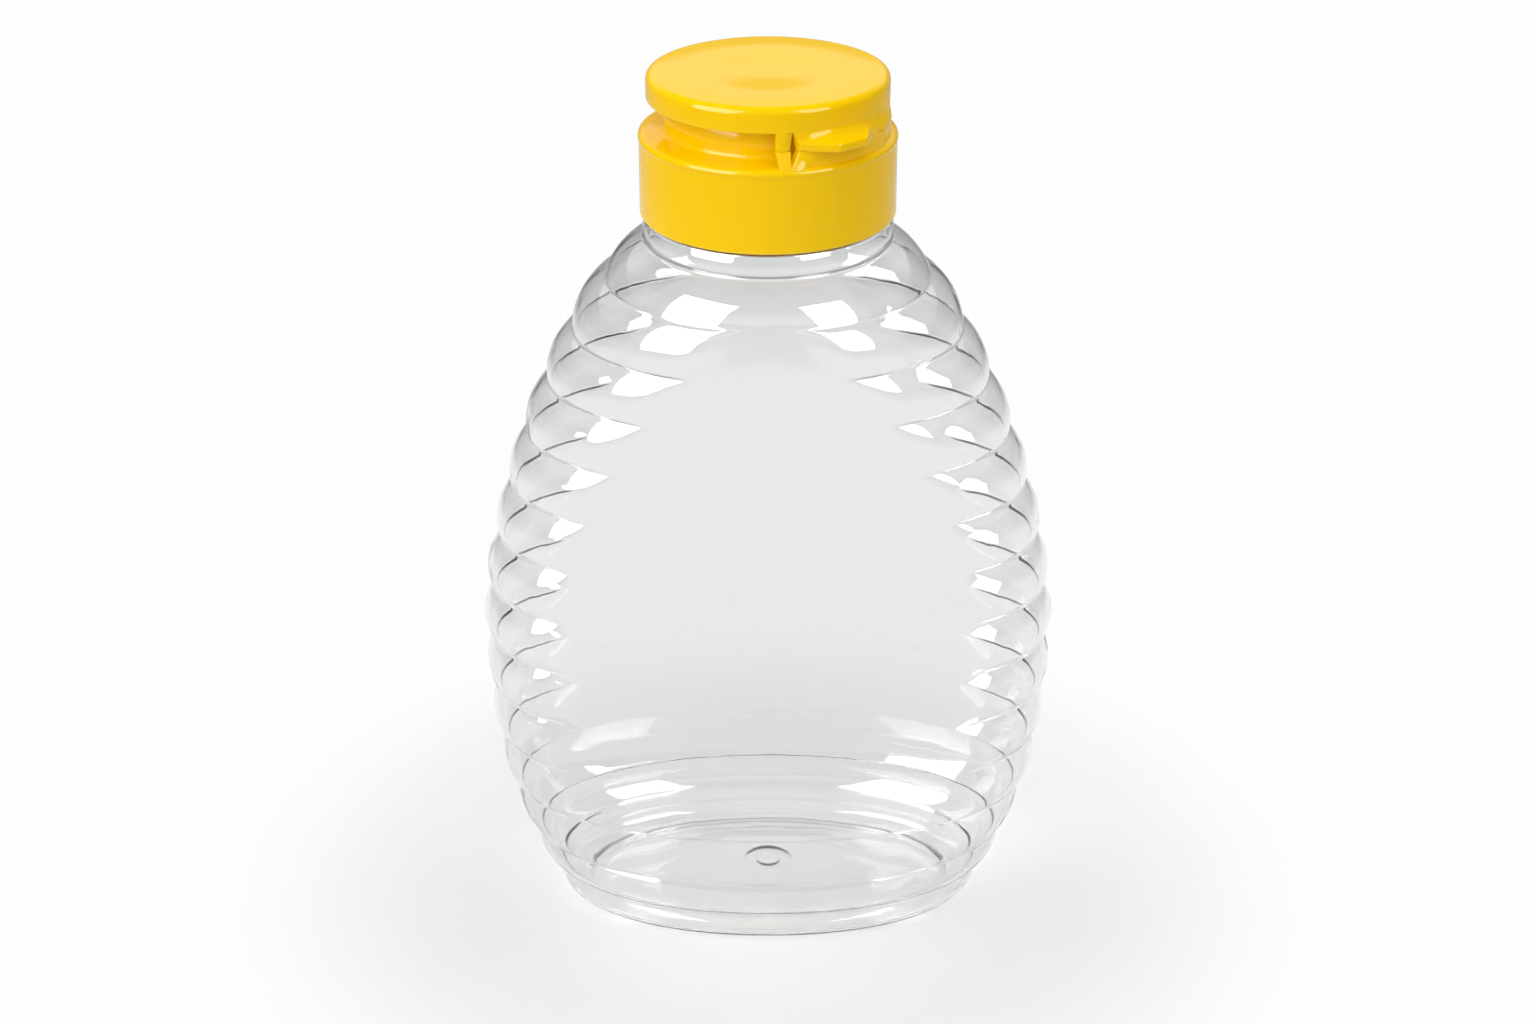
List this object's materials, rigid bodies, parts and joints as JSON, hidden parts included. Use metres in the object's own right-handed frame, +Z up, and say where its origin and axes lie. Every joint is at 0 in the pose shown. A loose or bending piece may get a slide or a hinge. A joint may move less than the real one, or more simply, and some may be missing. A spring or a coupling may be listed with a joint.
{
  "type": "honey squeeze bottle",
  "caption": "Clear oval squeeze bottle with rounded rings, smooth front and back panels and a yellow screw cap whose lid flips up on a moulded hinge.",
  "frame": {"origin": "on the surface the bottle stands on, under the bottle's upright axis, at the centre of the foot", "axes": "+Z up along the bottle's axis; the label panels face -Y and +Y; the narrow ends face -X and +X"},
  "size_m": [0.0984, 0.0536, 0.1512],
  "materials": {
    "clear_pet": "clear glossy blown plastic",
    "yellow_polypropylene": "glossy moulded plastic"
  },
  "bodies": {
    "base": {"bottle": "clear_pet", "cap_base": "yellow_polypropylene", "hinge_band": "yellow_polypropylene"},
    "lid": {"lid": "yellow_polypropylene"}
  },
  "joints": [
    {"name": "lid_hinge", "type": "hinge", "parent": "base", "child": "lid", "pos_m": [0.01035, -0.01424, 0.1441], "axis": [0.809, 0.5878, 0], "range_deg": [0, 90], "deforming": ["hinge_band"]}
  ]
}
